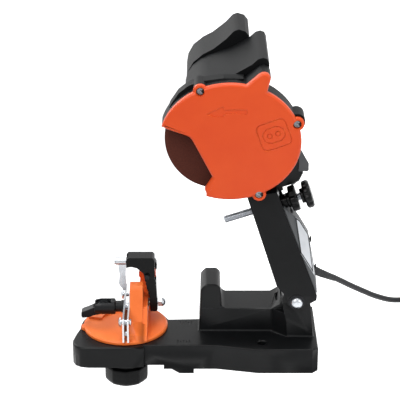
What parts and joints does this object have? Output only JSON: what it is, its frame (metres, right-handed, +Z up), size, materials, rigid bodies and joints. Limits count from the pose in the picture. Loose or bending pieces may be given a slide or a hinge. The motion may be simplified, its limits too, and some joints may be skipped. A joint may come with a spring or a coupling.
{
  "type": "chain saw sharpener",
  "caption": "Electric bench sharpener for saw chains: swing-down grinding head with guarded wheel, sprung arm with depth screw, swivel chain vise, cord and plug.",
  "frame": {"origin": "middle of the two bench bolt holes, on the underside of the base", "axes": "+X towards the rear of the base (arm side), +Y away from the wheel side, towards the motor, +Z up"},
  "size_m": [0.4492, 0.2219, 0.3503],
  "materials": {
    "cast_dark": "satin textured",
    "zinc": "zinc plated",
    "spring_steel": "bare",
    "orange_cast": "satin",
    "chrome_rail": "polished",
    "black_plastic": "fine texture",
    "orange_plastic": "satin gloss",
    "grey_plastic": "fine texture",
    "light_grey_plastic": "fine texture",
    "plate": "satin sheet",
    "black_steel": "black oxide",
    "laminated_steel": "laminated",
    "brass": "bare",
    "copper_bar": "bare copper",
    "abrasive": "vitrified grit",
    "red_switch": "gloss",
    "cord_rubber": "matt"
  },
  "bodies": {
    "base": {"base_frame": "cast_dark", "pivot_bolt": "zinc", "pivot_nut": "zinc", "return_spring": "spring_steel", "cord": "cord_rubber", "cord_coil": "cord_rubber", "plug": "cord_rubber", "plug_pins": "zinc"},
    "swivel": {"swivel_table": "orange_cast", "swivel_bolt": "zinc", "fixed_rail": "chrome_rail", "rail_screws": "zinc", "rail_spacers": "zinc", "clamp_rod": "zinc", "clamp_pin": "zinc", "stop_stud": "black_steel", "guide_stud": "zinc", "guide_spring": "spring_steel", "dome_nut": "chrome_rail"},
    "knob": {"lock_knob": "black_plastic", "lock_washer": "zinc"},
    "jaw": {"moving_rail": "chrome_rail", "clamp_barrel": "black_plastic"},
    "lever": {"clamp_lever": "black_steel"},
    "stop": {"stop_arm": "black_steel", "pawl_pin": "chrome_rail"},
    "stop_adjuster": {"stop_wheel": "orange_plastic"},
    "stud_nut": {"stud_knob": "black_plastic"},
    "pawl": {"chain_stop": "chrome_rail"},
    "head": {"swing_arm": "black_plastic", "arm_cover": "light_grey_plastic", "rating_plate": "plate", "cover_screws": "zinc", "guard_back": "black_plastic", "guard_cover": "orange_plastic", "guard_screws": "black_steel", "motor_housing": "grey_plastic", "motor_cap": "grey_plastic", "cap_screws": "zinc", "stator": "laminated_steel", "brush_holders": "brass", "bearings": "spring_steel", "switch_body": "black_plastic", "depth_collar": "black_plastic", "cord_gland": "cord_rubber"},
    "spindle": {"motor_shaft": "zinc", "rotor_core": "laminated_steel", "commutator": "copper_bar", "fan": "black_plastic", "inner_flange": "zinc", "grinding_wheel": "abrasive", "outer_flange": "zinc", "arbor_nut": "zinc"},
    "rocker": {"switch_rocker": "red_switch"},
    "screw": {"depth_screw": "zinc"},
    "screw_knob": {"depth_knob": "black_plastic"},
    "lock_nut": {"depth_lock": "black_plastic"}
  },
  "joints": [
    {"name": "swivel_turn", "type": "hinge", "parent": "base", "child": "swivel", "pos_m": [-0.1402, 0, 0.03], "axis": [0, 0, 1], "range_deg": [-35, 35]},
    {"name": "knob_turn", "type": "hinge", "parent": "base", "child": "knob", "pos_m": [-0.1402, 0, -0.02], "axis": [0, 0, 1], "range_deg": [-180, 180]},
    {"name": "lever_turn", "type": "hinge", "parent": "swivel", "child": "lever", "pos_m": [-0.163, 0, 0.05], "axis": [0, 1, 0], "range_deg": [0, 75]},
    {"name": "jaw_slide", "type": "slide", "parent": "swivel", "child": "jaw", "axis": [1, 0, 0], "range_m": [-0.001, 0]},
    {"name": "stud_knob_turn", "type": "hinge", "parent": "swivel", "child": "stud_nut", "pos_m": [-0.1175, 0.035, 0.081], "axis": [0, 1, 0], "range_deg": [-180, 180]},
    {"name": "stop_slide", "type": "slide", "parent": "swivel", "child": "stop", "axis": [0, 1, 0], "range_m": [-0.003, 0.003]},
    {"name": "stop_turn", "type": "hinge", "parent": "stop", "child": "stop_adjuster", "pos_m": [-0.1175, 0.015, 0.081], "axis": [0, 1, 0], "range_deg": [-1080, 1080]},
    {"name": "pawl_swing", "type": "hinge", "parent": "stop", "child": "pawl", "pos_m": [-0.1435, 0.015, 0.0945], "axis": [1, 0, 0], "range_deg": [-25, 60]},
    {"name": "head_swing", "type": "hinge", "parent": "base", "child": "head", "pos_m": [0.035, 0.009, 0.069], "axis": [0, -1, 0], "range_deg": [0, 38], "stiffness_Nm_per_rad": 5, "springref_deg": -51.57},
    {"name": "spindle_spin", "type": "hinge", "parent": "head", "child": "spindle", "pos_m": [-0.044, 0, 0.237], "axis": [0, 1, 0], "continuous": true},
    {"name": "rocker_tilt", "type": "hinge", "parent": "head", "child": "rocker", "pos_m": [-0.044, 0.1643, 0.273], "axis": [1, 0, 0], "range_deg": [-22, 0]},
    {"name": "screw_slide", "type": "slide", "parent": "head", "child": "screw", "axis": [0.9478, 0, 0.319], "range_m": [-0.003, 0.015]},
    {"name": "screw_turn", "type": "hinge", "parent": "screw", "child": "screw_knob", "pos_m": [0.00489, 0.009, 0.15847], "axis": [0.9478, 0, 0.319], "range_deg": [-864, 4320]},
    {"name": "lock_turn", "type": "hinge", "parent": "head", "child": "lock_nut", "pos_m": [0.00489, 0.009, 0.15847], "axis": [0.9478, 0, 0.319], "range_deg": [-180, 180]}
  ],
  "couplings": [
    {"joint": "jaw_slide", "follows": "lever_turn", "m_per_rad": -0.00076},
    {"joint": "stop_turn", "follows": "stop_slide", "rad_per_m": 6283.2},
    {"joint": "screw_turn", "follows": "screw_slide", "rad_per_m": 5026.5}
  ]
}
